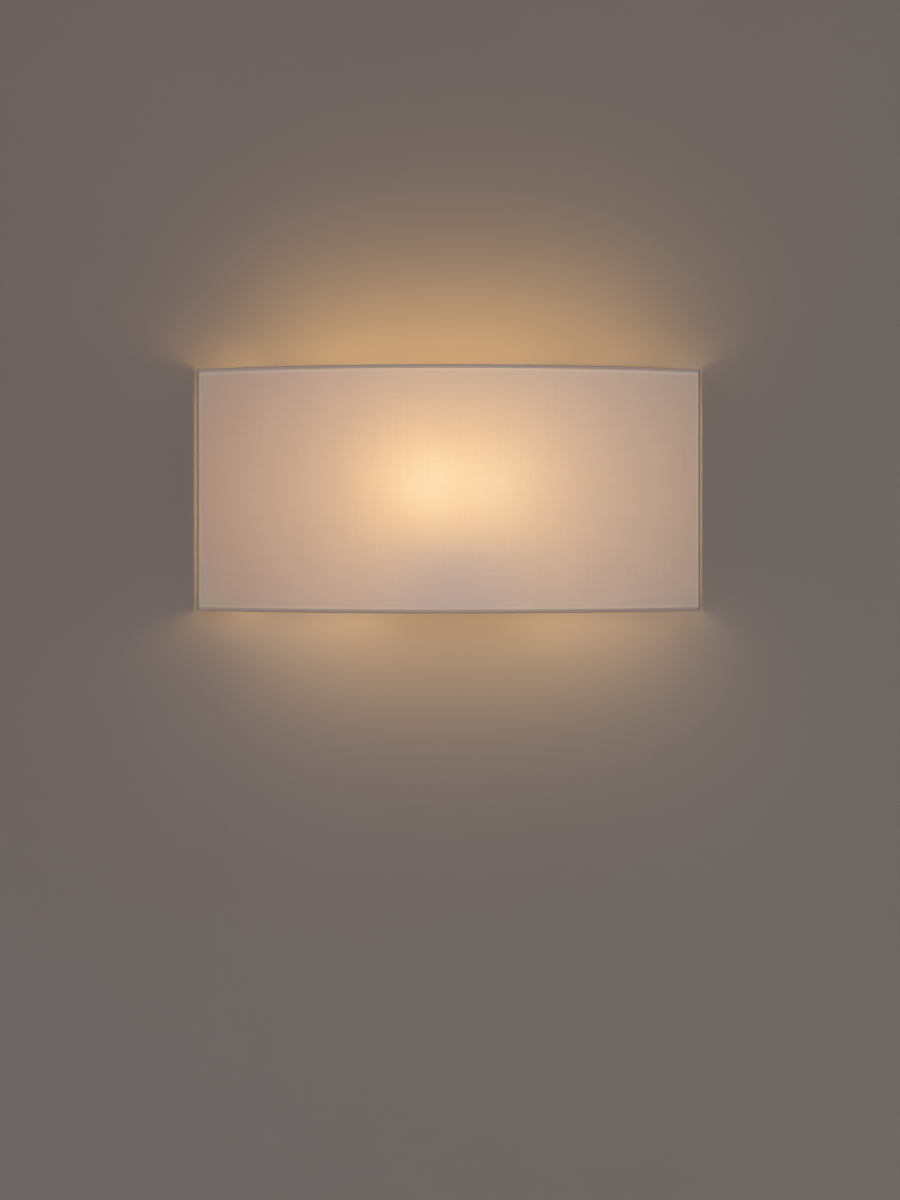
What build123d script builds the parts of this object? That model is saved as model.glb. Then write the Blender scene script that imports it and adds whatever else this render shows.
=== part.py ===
from build123d import *
import os
from math import asin, pi, radians, sin, cos, tan

# A wall light: a bow-front cloth shade in front of two small-screw lamps on a steel wall box.
# Millimetres. The wall is the plane y = 0, the light stands out of it towards -Y, and +Z is up.
# The origin is the middle of the mounting strap, on its back face.

# Shade: cloth rolled over a wire along all four edges, with a stiff liner glued behind it
SHADE_WIDTH = 500.0
SHADE_HEIGHT = 240.0
SHADE_PROJECTION = 120.0     # wall to the middle of the front
SHADE_WALL_GAP = 2.0         # wall to the end rolls
WIRE_D = 2.0
CLOTH_T = 0.5
ROLL_PROUD = 0.2             # the roll stands this much in front of the flat cloth
END_SEAM_T = 0.1             # extra thickness of the end rolls, where the cut edge is turned in
LINER_T = 0.3
LINER_MARGIN = 2.0           # single cloth between the liner's edge and the roll
GLUE_T = 0.05
WIRE_FIT = 0.05              # room round the wire in its roll

# Shade carrier: straight back bars, and arms that slip over screws in the wall box's sides
BAR_D = 3.0
ARM_T = 1.2
ARM_WIDTH = 12.0
SLOT_FIT = 0.2               # room round a screw shank in the arm's slot
SLOT_HEIGHT = 30.0           # the slots are this far above and below the middle
ARM_LINE_FROM_WALL = 9.0     # bars, slots and screws share this line

# Wall box: a steel pan, open at the wall
BOX_WIDTH = 200.0
BOX_HEIGHT = 120.0
BOX_DEPTH = 18.0             # wall to the front face
BOX_T = 1.2
BOX_WALL_GAP = 0.5
BOX_CORNER_R = 5.0

# Mounting strap with two slots for wall screws and two threaded pillars for the box
STRAP_LENGTH = 184.0
STRAP_WIDTH = 26.0
STRAP_T = 2.0
STRAP_CORNER_R = 4.0
WALL_SLOT_SPACING = 120.0
WALL_SLOT_WIDTH = 5.0
WALL_SLOT_LENGTH = 12.0
CABLE_HOLE_D = 14.0
PILLAR_SPACING = 160.0
PILLAR_FLATS = 7.0
PILLAR_SPIGOT_D = 5.0

# Fasteners
M4_D = 4.0
M3_D = 3.0
THREAD_FIT = 0.05            # radial room between a thread and its hole
HOLE_FIT = 0.2               # radial room of a clearance hole
SEAT_GAP = 0.1               # between pieces on different bodies that bear on each other
TOLERANCE = 0.01             # for telling edges apart by their place
HEAD_WIDTH_RATIO = 1.9       # pan head over thread
HEAD_HEIGHT_RATIO = 0.6
NUT_FLATS_M4 = 7.0
NUT_T_M4 = 3.2
THREAD_BEYOND_NUT = 1.0
BOX_SCREW_LENGTH = 9.0
INSERT_BODY_D = 6.0
INSERT_FLANGE_D = 11.0
INSERT_FLANGE_T = 0.8
INSERT_LENGTH = 9.0
PEG_HEAD_D = 8.0
PEG_HEAD_T = 1.5
PEG_TAIL_D = 6.5
THUMB_HEAD_D = 12.0
THUMB_HEAD_T = 7.0
THUMB_HEAD_CHAMFER = 0.6
THUMB_BORE_DEPTH = 5.0
THUMB_SHANK_LENGTH = 14.0    # from the arm's outer face inwards
THUMB_POINT = 0.5            # chamfer at the end of the shank
KNURL_COUNT = 24
KNURL_R = 0.45

# Lamp shelf
SHELF_WIDTH = 100.0
SHELF_T = 1.5
SHELF_BELOW_BOX = 15.0       # wall box's bottom side to the shelf's top face
SHELF_BEYOND_LAMP = 18.0     # lamp axis to the front lip
SHELF_LIP = 8.0
SHELF_CORNER_R = 8.0
SHELF_SCREW_SPACING = 76.0
SHELF_SCREW_ABOVE_BOX_BOTTOM = 20.0
SHELF_LEG_ABOVE_SCREWS = 14.0

# Lampholders
LAMP_SPACING = 64.0
LAMP_FROM_WALL = 48.0
NIPPLE_D = 10.0
NIPPLE_BORE_D = 7.6
NIPPLE_ABOVE = 8.0
NIPPLE_BELOW = 8.0
LOCK_NUT_FLATS = 14.0
LOCK_NUT_T = 3.0
LOCK_WASHER_D = 16.0
LOCK_WASHER_T = 1.0
HOLDER_D = 27.0
HOLDER_HEIGHT = 50.0
HOLDER_BASE_HEIGHT = 16.0
HOLDER_FLOOR_T = 3.0
HOLDER_CHAMFER = 2.5
HOLDER_WALL_T = 1.8
SPIGOT_HEIGHT = 6.0
SPIGOT_T = 1.3
RIM_T = 1.6
RIM_MOUTH_D = 17.8
CORE_BOTTOM = 12.0
CORE_TOP = 24.0
SOCKET_THREAD_D = 14.6
SOCKET_SHELL_T = 0.4
SOCKET_SHELL_HEIGHT = 20.0
CONTACT_D = 3.0
CONTACT_HEIGHT = 1.4
CONTACT_LEAF = (6.0, 3.0, 0.4)
CONTACT_LEAF_ROOM = 1.0      # shell's floor to the leaf

# Lamps: opal golf-ball shape with a small screw cap. Heights are from the contact tip
GLOBE_D = 45.0
LAMP_LENGTH = 78.0
GLOBE_T = 1.0
NECK_TOP_D = 35.0
NECK_D = 15.2
NECK_BOTTOM = 19.7
NECK_STRAIGHT_TOP = 26.0
CAP_D = 13.9
CAP_CORE_D = 12.4
CAP_WALL_T = 0.6
CAP_BOTTOM = 3.6
CAP_PITCH = 2.822
CAP_RIDGES = 5
TIP_D = 4.8
TIP_HEIGHT = 1.2
INSULATOR_BOTTOM_D = 6.4

# Wiring
WIRE_INSULATION_D = 1.6
WIRE_GAP = 0.6               # between neighbouring wires
WIRE_BARE_REACH = 1.0        # how far a wire stops below the middle of its barrel
LEAD_DROP = 24.0             # below the middle of the terminal block, before a lead first bends
LEAD_ABOVE_GROMMET = 20.0
LEAD_BELOW_GROMMET = 10.0
LOOP_DROPS = (7.0, 13.0, 14.0)   # of a lead's low loop, below the mouth of the threaded tube
LOOP_OVERSHOOT = 2.0         # how far a lead bends past the tube's axis
LOOP_SIDESTEP = 1.0
MOUTH_DROP = 2.0             # where a lead straightens up, below the tube's mouth
EARTH_DROPS = (20.0, 33.0, 34.0)     # of the earth wire's bends, below the middle of the terminal block
EARTH_RISE = 10.0            # the earth wire's last straight run below its tag
GROMMET_BORE_D = 6.4
GROMMET_HOLE_D = 10.0
GROMMET_LIP_D = 14.0
GROMMET_LIP_T = 1.5
BLOCK_SIZE = (30.0, 11.0, 17.0)
BLOCK_BELOW_BOX_TOP = 26.0   # wall box's top side to the middle of the block
POLE_PITCH = 10.0
POLE_COUNT = 3
BARREL_SIDE = 6.0
BARREL_LENGTH = 15.0
BARREL_BORE_D = 3.8
BARREL_FROM_BOX = 4.8        # wall box's inner face to the barrel's axis
CLAMP_SCREW_D = 2.5
CLAMP_HEAD_D = 3.4
CLAMP_SCREW_OFFSET = 4.2
CLAMP_SLOT_WIDTH = 0.6
EARTH_SCREW_X = 50.0
EARTH_SCREW_BELOW_BOX_TOP = 30.0
TAG_RING_D = 9.0
TAG_T = 0.8
TAG_BARREL_D = 3.0
TAG_BARREL_LENGTH = 6.0
TAG_OVERLAP = 1.0            # of the tag's barrel on its ring

# Places worked out from the sizes
ROLL_R = WIRE_D / 2 + CLOTH_T
WIRE_X = SHADE_WIDTH / 2 - ROLL_R - END_SEAM_T
WIRE_BACK_Y = -(SHADE_WALL_GAP + ROLL_R + END_SEAM_T)
WIRE_Z = SHADE_HEIGHT / 2 - ROLL_R
BOW_DEPTH = SHADE_PROJECTION - ROLL_R + WIRE_BACK_Y
BOW_R = (WIRE_X**2 + BOW_DEPTH**2) / (2 * BOW_DEPTH)
BOW_CENTRE_Y = BOW_R - SHADE_PROJECTION + ROLL_R
BOW_HALF_ANGLE = asin(WIRE_X / BOW_R)
CLOTH_R = BOW_R + ROLL_R - ROLL_PROUD
LINER_R = CLOTH_R - CLOTH_T - GLUE_T
BAR_Y = -ARM_LINE_FROM_WALL
BAR_Z = WIRE_Z - WIRE_D / 2 - BAR_D / 2
BOX_FRONT_Y = -BOX_DEPTH
BOX_INNER_Y = BOX_FRONT_Y + BOX_T
BOX_SIDE_X = BOX_WIDTH / 2
ARM_INNER_X = BOX_SIDE_X + INSERT_FLANGE_T + SEAT_GAP
ARM_OUTER_X = ARM_INNER_X + ARM_T
BOX_TOP = BOX_HEIGHT / 2
BOX_BOTTOM = -BOX_TOP
BLOCK_CENTRE_Z = BOX_TOP - BLOCK_BELOW_BOX_TOP
EARTH_SCREW_Z = BOX_TOP - EARTH_SCREW_BELOW_BOX_TOP
LAMP_Y = -LAMP_FROM_WALL
SHELF_TOP = BOX_BOTTOM - SHELF_BELOW_BOX
SHELF_BOTTOM = SHELF_TOP - SHELF_T
SHELF_SCREW_Z = BOX_BOTTOM + SHELF_SCREW_ABOVE_BOX_BOTTOM
SHELF_LEG_TOP = SHELF_SCREW_Z + SHELF_LEG_ABOVE_SCREWS
TUBE_MOUTH = SHELF_BOTTOM - NIPPLE_BELOW
LAMP_TIP_Z = SHELF_TOP + CORE_TOP + CONTACT_HEIGHT + SEAT_GAP
GLOBE_CENTRE_HEIGHT = LAMP_LENGTH - GLOBE_D / 2
BARREL_Y = BOX_INNER_Y + BARREL_FROM_BOX
BLOCK_SEAT_Y = BARREL_Y + BARREL_SIDE / 2 + 5 * SEAT_GAP
HALF_CABLE_D = WIRE_INSULATION_D / 2
TAG_BOTTOM = EARTH_SCREW_Z - TAG_RING_D / 2 - TAG_BARREL_LENGTH
SIDES = {"left": -1, "right": 1}
UP = (0, 0, 1)
FORWARD = (0, -1, 0)
BACKWARD = (0, 1, 0)


def block(x_span, y_span, z_span):
    """A box between the given limits on each axis."""
    size = [high - low for low, high in (x_span, y_span, z_span)]
    middle = [(high + low) / 2 for low, high in (x_span, y_span, z_span)]
    return Pos(*middle) * Box(*size)


def rod(radius, start, end):
    """A cylinder from one point to another."""
    start, end = Vector(*start), Vector(*end)
    base_at_start = (Align.CENTER, Align.CENTER, Align.MIN)
    length = (end - start).length
    return Plane(origin=start, z_dir=end - start) * Cylinder(radius, length, align=base_at_start)


def turned(profile, origin, up):
    """A closed outline of (radius, height) points, turned about an axis that starts at origin."""
    outline = make_face(Plane.XZ * Polyline(*profile, close=True))
    return Plane(origin=origin, z_dir=up) * revolve(outline, axis=Axis.Z)


def hexagon(flats, height, origin, up):
    """A hexagonal prism that starts at origin."""
    return Plane(origin=origin, z_dir=up) * extrude(RegularPolygon(flats / 2, 6, major_radius=False), height)


def screw(thread_d, length, seat, out):
    """A pan-head screw with a cross recess. seat is under the head, and out points away from the hole."""
    head_r = thread_d * HEAD_WIDTH_RATIO / 2
    head_h = thread_d * HEAD_HEIGHT_RATIO
    profile = [
        (0, -length), (thread_d / 2, -length), (thread_d / 2, 0), (head_r, 0),
        (head_r, head_h * 0.5), (head_r * 0.75, head_h), (0, head_h),
    ]
    recess_depth = head_h * 0.6
    recess = Box(head_r, thread_d / 6, recess_depth) + Box(thread_d / 6, head_r, recess_depth)
    recess = Plane(origin=seat, z_dir=out) * (Pos(0, 0, head_h - recess_depth / 2) * recess)
    return turned(profile, seat, out) - recess


def bow_point(radius, angle, z):
    """A point on the shade's plan arc. The angle is from the middle of the front."""
    return Vector(radius * sin(angle), BOW_CENTRE_Y - radius * cos(angle), z)


def bow_arc(radius, angle, z):
    """The plan arc at a height, from -angle to +angle."""
    return ThreePointArc(bow_point(radius, -angle, z), bow_point(radius, 0, z), bow_point(radius, angle, z))


def bow_band(radius, thickness, angle, half_height):
    """A curved sheet, with radius as its outer face."""
    outer = bow_arc(radius, angle, -half_height)
    inner = bow_arc(radius - thickness, angle, -half_height)
    ends = [Line(outer @ 0, inner @ 0), Line(outer @ 1, inner @ 1)]
    return extrude(make_face([outer, inner, *ends]), 2 * half_height, dir=UP)


def bow_rod(rod_radius, z):
    """A round rod bent along the wire's arc."""
    path = bow_arc(BOW_R, BOW_HALF_ANGLE, z)
    return sweep(Plane(origin=path @ 0, z_dir=path % 0) * Circle(rod_radius), path=path)


def upright(radius, side, half_height):
    """A vertical rod on the line of an end wire."""
    return rod(radius, (side * WIRE_X, WIRE_BACK_Y, -half_height), (side * WIRE_X, WIRE_BACK_Y, half_height))


def back_bar(radius, level):
    """The bar behind the shade's top or bottom edge, ending under the bent wire."""
    reach = SHADE_WIDTH / 2
    bar = rod(radius, (-reach, BAR_Y, level * BAR_Z), (reach, BAR_Y, level * BAR_Z))
    inside = Pos(0, BOW_CENTRE_Y, 0) * Cylinder(BOW_R, SHADE_HEIGHT)
    return bar & inside


def cloth():
    """The flat cloth and its rolls, hollow where the wires run."""
    bore = WIRE_D / 2 + WIRE_FIT
    shape = bow_band(CLOTH_R, CLOTH_T, BOW_HALF_ANGLE, WIRE_Z)
    for level in (-1, 1):
        shape += bow_rod(ROLL_R, level * WIRE_Z)
    for side in SIDES.values():
        shape += upright(ROLL_R + END_SEAM_T, side, SHADE_HEIGHT / 2)
    for side in SIDES.values():
        shape -= upright(bore + END_SEAM_T, side, WIRE_Z + bore)
    for level in (-1, 1):
        shape -= bow_rod(bore, level * WIRE_Z)
        shape -= back_bar(BAR_D / 2 + WIRE_FIT, level)
    return shape


def liner():
    """The translucent film behind the cloth, short of the rolls on all sides."""
    margin = ROLL_R + LINER_MARGIN
    return bow_band(LINER_R, LINER_T, BOW_HALF_ANGLE - margin / BOW_R, WIRE_Z - margin)


def arm(side):
    """A vertical steel arm between the back bars, with two slots that open towards the wall."""
    top = BAR_Z - BAR_D / 2
    x_span = sorted((side * ARM_INNER_X, side * ARM_OUTER_X))
    back_y = BAR_Y + ARM_WIDTH / 2
    shape = block(x_span, (BAR_Y - ARM_WIDTH / 2, back_y), (-top, top))
    slot_r = M4_D / 2 + SLOT_FIT
    for z in (-SLOT_HEIGHT, SLOT_HEIGHT):
        shape -= rod(slot_r, (x_span[0], BAR_Y, z), (x_span[1], BAR_Y, z))
        shape -= block(x_span, (BAR_Y, back_y), (z - slot_r, z + slot_r))
    return shape


def insert(side):
    """A thread insert in the wall box's side, with its flange outside."""
    hole_r = M4_D / 2 + THREAD_FIT
    body_r = INSERT_BODY_D / 2 - THREAD_FIT
    profile = [
        (hole_r, -INSERT_LENGTH), (body_r, -INSERT_LENGTH), (body_r, 0), (INSERT_FLANGE_D / 2, 0),
        (INSERT_FLANGE_D / 2, INSERT_FLANGE_T), (hole_r, INSERT_FLANGE_T),
    ]
    return turned(profile, (side * BOX_SIDE_X, BAR_Y, SLOT_HEIGHT), (side, 0, 0))


def peg(side):
    """A riveted peg in the wall box's side. The arm's lower slot slips over it."""
    shank_r = M4_D / 2
    shoulder_r = INSERT_FLANGE_D / 2
    head = INSERT_FLANGE_T + 2 * SEAT_GAP + ARM_T
    profile = [
        (0, -BOX_T - PEG_HEAD_T), (PEG_TAIL_D / 2, -BOX_T - PEG_HEAD_T), (PEG_TAIL_D / 2, -BOX_T),
        (shank_r, -BOX_T), (shank_r, 0), (shoulder_r, 0), (shoulder_r, INSERT_FLANGE_T),
        (shank_r, INSERT_FLANGE_T), (shank_r, head), (PEG_HEAD_D / 2, head),
        (PEG_HEAD_D / 2, head + PEG_HEAD_T), (0, head + PEG_HEAD_T),
    ]
    return turned(profile, (side * BOX_SIDE_X, BAR_Y, -SLOT_HEIGHT), (side, 0, 0))


def thumb_screw(side):
    """The shank and the knurled head of a thumb screw."""
    seat = (side * (ARM_OUTER_X + SEAT_GAP), BAR_Y, SLOT_HEIGHT)
    out = (side, 0, 0)
    shank = turned(
        [(0, -THUMB_SHANK_LENGTH), (M4_D / 2 - THUMB_POINT, -THUMB_SHANK_LENGTH),
         (M4_D / 2, THUMB_POINT - THUMB_SHANK_LENGTH), (M4_D / 2, THUMB_BORE_DEPTH - SEAT_GAP),
         (0, THUMB_BORE_DEPTH - SEAT_GAP)],
        seat, out,
    )
    head = Cylinder(THUMB_HEAD_D / 2, THUMB_HEAD_T, align=(Align.CENTER, Align.CENTER, Align.MIN))
    head = chamfer(head.edges().filter_by(GeomType.CIRCLE), THUMB_HEAD_CHAMFER)
    for i in range(KNURL_COUNT):
        turn = Rot(0, 0, 360 * i / KNURL_COUNT) * Pos(THUMB_HEAD_D / 2, 0, THUMB_HEAD_T / 2)
        head -= turn * Cylinder(KNURL_R, THUMB_HEAD_T)
    head -= Pos(0, 0, THUMB_BORE_DEPTH / 2) * Cylinder(M4_D / 2 + THREAD_FIT, THUMB_BORE_DEPTH)
    return shank, Plane(origin=seat, z_dir=out) * head


def wall_strap():
    """The flat strap screwed to the wall."""
    shape = block((-STRAP_LENGTH / 2, STRAP_LENGTH / 2), (-STRAP_T, 0), (-STRAP_WIDTH / 2, STRAP_WIDTH / 2))
    shape = fillet(shape.edges().filter_by(Axis.Y), STRAP_CORNER_R)
    shape -= rod(CABLE_HOLE_D / 2, (0, 0, 0), (0, -STRAP_T, 0))
    half_run = (WALL_SLOT_LENGTH - WALL_SLOT_WIDTH) / 2
    for side in SIDES.values():
        x = side * WALL_SLOT_SPACING / 2
        ends = (x - half_run, x + half_run)
        shape -= block(ends, (-STRAP_T, 0), (-WALL_SLOT_WIDTH / 2, WALL_SLOT_WIDTH / 2))
        for end in ends:
            shape -= rod(WALL_SLOT_WIDTH / 2, (end, 0, 0), (end, -STRAP_T, 0))
        x = side * PILLAR_SPACING / 2
        shape -= rod(PILLAR_SPIGOT_D / 2, (x, 0, 0), (x, -STRAP_T, 0))
    return shape


def pillar(side):
    """A hexagonal pillar pressed into the strap, which the wall box is screwed to."""
    x = side * PILLAR_SPACING / 2
    shape = hexagon(PILLAR_FLATS, -BOX_INNER_Y - STRAP_T, (x, -STRAP_T, 0), FORWARD)
    shape += rod(PILLAR_SPIGOT_D / 2 - THREAD_FIT, (x, 0, 0), (x, -STRAP_T, 0))
    return shape - rod(M4_D / 2 + THREAD_FIT, (x, 0, 0), (x, BOX_INNER_Y, 0))


def wall_box():
    """The pan: a front face with four sides, open at the wall."""
    x, z = BOX_SIDE_X, BOX_TOP
    shell = block((-x, x), (BOX_FRONT_Y, -BOX_WALL_GAP), (-z, z))
    shell = fillet(shell.edges().filter_by(Axis.Y), BOX_CORNER_R)
    hollow = block((BOX_T - x, x - BOX_T), (BOX_INNER_Y, -BOX_WALL_GAP), (BOX_T - z, z - BOX_T))
    shell -= fillet(hollow.edges().filter_by(Axis.Y), BOX_CORNER_R - BOX_T)
    for side in SIDES.values():
        outer, inner = side * x, side * (x - 2 * BOX_T)
        shell -= rod(INSERT_BODY_D / 2, (outer, BAR_Y, SLOT_HEIGHT), (inner, BAR_Y, SLOT_HEIGHT))
        shell -= rod(M4_D / 2 + THREAD_FIT, (outer, BAR_Y, -SLOT_HEIGHT), (inner, BAR_Y, -SLOT_HEIGHT))
    for hole_x, hole_z, radius in front_holes():
        shell -= rod(radius, (hole_x, BOX_FRONT_Y, hole_z), (hole_x, BOX_INNER_Y, hole_z))
    return shell - rod(GROMMET_HOLE_D / 2, (0, BAR_Y, BOX_BOTTOM), (0, BAR_Y, BOX_BOTTOM + BOX_T))


def box_screw(side):
    """A screw through the wall box's front into a pillar."""
    return screw(M4_D, BOX_SCREW_LENGTH, (side * PILLAR_SPACING / 2, BOX_FRONT_Y, 0), FORWARD)


def front_holes():
    """The (x, z, radius) of each hole in the wall box's front face."""
    holes = [(EARTH_SCREW_X, EARTH_SCREW_Z, M4_D / 2 + THREAD_FIT)]
    for side in SIDES.values():
        holes.append((side * PILLAR_SPACING / 2, 0, M4_D / 2 + HOLE_FIT))
        holes.append((side * SHELF_SCREW_SPACING / 2, SHELF_SCREW_Z, M4_D / 2 + HOLE_FIT))
        holes.append((side * POLE_PITCH / 2, BLOCK_CENTRE_Z, M3_D / 2 + THREAD_FIT))
    return holes


def lamp_shelf():
    """One folded sheet: a leg on the wall box, the shelf under the lampholders and a front lip."""
    half = SHELF_WIDTH / 2
    front_y = LAMP_Y - SHELF_BEYOND_LAMP
    leg_y = (BOX_FRONT_Y - SHELF_T, BOX_FRONT_Y)
    shelf = block((-half, half), (front_y, BOX_FRONT_Y), (SHELF_BOTTOM, SHELF_TOP))
    lip = block((-half, half), (front_y, front_y + SHELF_T), (SHELF_TOP - SHELF_LIP, SHELF_TOP))
    leg = block((-half, half), leg_y, (SHELF_BOTTOM, SHELF_LEG_TOP))
    leg = fillet(leg.edges().filter_by(Axis.Y).group_by(Axis.Z)[-1], SHELF_CORNER_R)
    shape = shelf + lip + leg
    for y, z in ((BOX_FRONT_Y, SHELF_BOTTOM), (front_y, SHELF_TOP)):
        bend = [e for e in shape.edges().filter_by(Axis.X)
                if abs(e.center().Y - y) < TOLERANCE and abs(e.center().Z - z) < TOLERANCE]
        shape = fillet(bend, SHELF_T)
    for side in SIDES.values():
        x = side * LAMP_SPACING / 2
        shape -= rod(NIPPLE_D / 2 + HOLE_FIT, (x, LAMP_Y, SHELF_TOP), (x, LAMP_Y, SHELF_BOTTOM))
        x = side * SHELF_SCREW_SPACING / 2
        shape -= rod(M4_D / 2 + HOLE_FIT, (x, leg_y[0], SHELF_SCREW_Z), (x, leg_y[1], SHELF_SCREW_Z))
    return shape


def nipple(side):
    """The threaded tube that carries a lampholder and lets its wires through."""
    x = side * LAMP_SPACING / 2
    bottom, top = (x, LAMP_Y, TUBE_MOUTH), (x, LAMP_Y, SHELF_TOP + NIPPLE_ABOVE)
    return rod(NIPPLE_D / 2, bottom, top) - rod(NIPPLE_BORE_D / 2, bottom, top)


def lock_washer(side):
    """The washer under the shelf, round the threaded tube."""
    x = side * LAMP_SPACING / 2
    top, bottom = (x, LAMP_Y, SHELF_BOTTOM), (x, LAMP_Y, SHELF_BOTTOM - LOCK_WASHER_T)
    return rod(LOCK_WASHER_D / 2, bottom, top) - rod(NIPPLE_D / 2 + HOLE_FIT, bottom, top)


def lock_nut(side):
    """The thin hexagonal nut under the washer."""
    x = side * LAMP_SPACING / 2
    top = (x, LAMP_Y, SHELF_BOTTOM - LOCK_WASHER_T)
    bottom = (x, LAMP_Y, SHELF_BOTTOM - LOCK_WASHER_T - LOCK_NUT_T)
    nut = hexagon(LOCK_NUT_FLATS, LOCK_NUT_T, top, (0, 0, -1))
    return nut - rod(NIPPLE_D / 2 + THREAD_FIT, bottom, top)


def shelf_screw(side):
    """A screw that holds the shelf's leg to the wall box's front."""
    seat = (side * SHELF_SCREW_SPACING / 2, BOX_FRONT_Y - SHELF_T, SHELF_SCREW_Z)
    return screw(M4_D, SHELF_T + BOX_T + NUT_T_M4 + THREAD_BEYOND_NUT, seat, FORWARD)


def shelf_nut(side):
    """A nut inside the wall box, on one of the shelf's screws."""
    x = side * SHELF_SCREW_SPACING / 2
    near, far = (x, BOX_INNER_Y, SHELF_SCREW_Z), (x, BOX_INNER_Y + NUT_T_M4, SHELF_SCREW_Z)
    return hexagon(NUT_FLATS_M4, NUT_T_M4, near, BACKWARD) - rod(M4_D / 2 + THREAD_FIT, near, far)


def holder_at(side):
    """The middle of a lampholder's seat on the shelf."""
    return (side * LAMP_SPACING / 2, LAMP_Y, SHELF_TOP)


def holder_base(side):
    """The lower half of a lampholder, screwed onto the threaded tube, with a spigot for the sleeve."""
    outer, bore = HOLDER_D / 2, NIPPLE_D / 2 + THREAD_FIT
    spigot = outer - HOLDER_WALL_T - SEAT_GAP
    top = HOLDER_BASE_HEIGHT + SPIGOT_HEIGHT
    profile = [
        (bore, 0), (outer - HOLDER_CHAMFER, 0), (outer, HOLDER_CHAMFER), (outer, HOLDER_BASE_HEIGHT),
        (spigot, HOLDER_BASE_HEIGHT), (spigot, top), (spigot - SPIGOT_T, top),
        (spigot - SPIGOT_T, HOLDER_FLOOR_T), (bore, HOLDER_FLOOR_T),
    ]
    return turned(profile, holder_at(side), UP)


def holder_sleeve(side):
    """The upper half of a lampholder, with the mouth that the lamp goes into."""
    outer = HOLDER_D / 2
    inner, mouth = outer - HOLDER_WALL_T, RIM_MOUTH_D / 2
    bottom = HOLDER_BASE_HEIGHT + SEAT_GAP
    profile = [
        (inner, bottom), (outer, bottom), (outer, HOLDER_HEIGHT - RIM_T), (outer - RIM_T, HOLDER_HEIGHT),
        (mouth, HOLDER_HEIGHT), (mouth, HOLDER_HEIGHT - RIM_T), (inner, HOLDER_HEIGHT - RIM_T),
    ]
    return turned(profile, holder_at(side), UP)


def holder_core(side):
    """The insulating disc that holds the metal shell and the contact."""
    x, y, z = holder_at(side)
    radius = HOLDER_D / 2 - HOLDER_WALL_T - SPIGOT_T - 2 * SEAT_GAP
    return rod(radius, (x, y, z + CORE_BOTTOM), (x, y, z + CORE_TOP))


def socket_shell(side):
    """The metal screw shell of a lampholder, open round the contact."""
    inner = SOCKET_THREAD_D / 2
    outer = inner + SOCKET_SHELL_T
    flange_top = CORE_TOP + SOCKET_SHELL_T
    hole = CONTACT_LEAF[0] / 2 + CONTACT_LEAF_ROOM
    profile = [
        (hole, CORE_TOP), (outer, CORE_TOP), (outer, CORE_TOP + SOCKET_SHELL_HEIGHT),
        (inner, CORE_TOP + SOCKET_SHELL_HEIGHT), (inner, flange_top), (hole, flange_top),
    ]
    return turned(profile, holder_at(side), UP)


def centre_contact(side):
    """The springy leaf with a button that the lamp's tip presses on."""
    x, y, z = holder_at(side)
    width, depth, thickness = CONTACT_LEAF
    z += CORE_TOP
    leaf = block((x - width / 2, x + width / 2), (y - depth / 2, y + depth / 2), (z, z + thickness))
    return leaf + rod(CONTACT_D / 2, (x, y, z), (x, y, z + CONTACT_HEIGHT))


def lamp_at(side):
    """The lowest point of a lamp's contact tip."""
    return (side * LAMP_SPACING / 2, LAMP_Y, LAMP_TIP_Z)


def lamp_globe(side):
    """The opal ball, hollow and open below."""
    x, y, z = lamp_at(side)
    centre = Pos(x, y, z + GLOBE_CENTRE_HEIGHT)
    ball = centre * Sphere(GLOBE_D / 2) - centre * Sphere(GLOBE_D / 2 - GLOBE_T)
    return ball - block((x - GLOBE_D, x + GLOBE_D), (y - GLOBE_D, y + GLOBE_D), (z, z + neck_top()))


def neck_top():
    """The height at which the neck meets the ball."""
    return GLOBE_CENTRE_HEIGHT - ((GLOBE_D / 2) ** 2 - (NECK_TOP_D / 2) ** 2) ** 0.5


def lamp_neck(side):
    """The solid neck that widens from the cap to the ball."""
    low, high = NECK_D / 2, NECK_TOP_D / 2
    top = neck_top()
    cap_r = CAP_CORE_D / 2 - CAP_WALL_T
    flare_mid = (low + 0.3 * (high - low), NECK_STRAIGHT_TOP + 0.6 * (top - NECK_STRAIGHT_TOP))
    rim = CAP_BOTTOM + (CAP_RIDGES + 0.5) * CAP_PITCH
    lines = Polyline((0, top), (0, rim - CAP_PITCH), (cap_r, rim - CAP_PITCH), (cap_r, NECK_BOTTOM),
                     (low, NECK_BOTTOM), (low, NECK_STRAIGHT_TOP))
    flare = ThreePointArc((low, NECK_STRAIGHT_TOP), flare_mid, (high, top))
    outline = make_face(Plane.XZ * (lines + flare + Line((high, top), (0, top))))
    return Plane(origin=lamp_at(side), z_dir=UP) * revolve(outline, axis=Axis.Z)


def lamp_cap(side):
    """The metal screw cap: a thin shell with rounded ridges at the thread's pitch."""
    core_r, ridge_r = CAP_CORE_D / 2, CAP_D / 2
    inner = core_r - CAP_WALL_T
    outline = [(inner, CAP_BOTTOM), (core_r, CAP_BOTTOM)]
    for i in range(CAP_RIDGES):
        start = CAP_BOTTOM + (i + 0.5) * CAP_PITCH
        outline += [(core_r, start), (ridge_r, start + 0.35 * CAP_PITCH),
                    (ridge_r, start + 0.55 * CAP_PITCH), (core_r, start + 0.9 * CAP_PITCH)]
    outline += [(core_r, NECK_BOTTOM), (inner, NECK_BOTTOM)]
    return turned(outline, lamp_at(side), UP)


def lamp_insulator(side):
    """The dark glass cone between the cap and the tip."""
    low, high = INSULATOR_BOTTOM_D / 2, CAP_CORE_D / 2
    profile = [(0, TIP_HEIGHT), (low, TIP_HEIGHT), (high, CAP_BOTTOM), (0, CAP_BOTTOM)]
    return turned(profile, lamp_at(side), UP)


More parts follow.
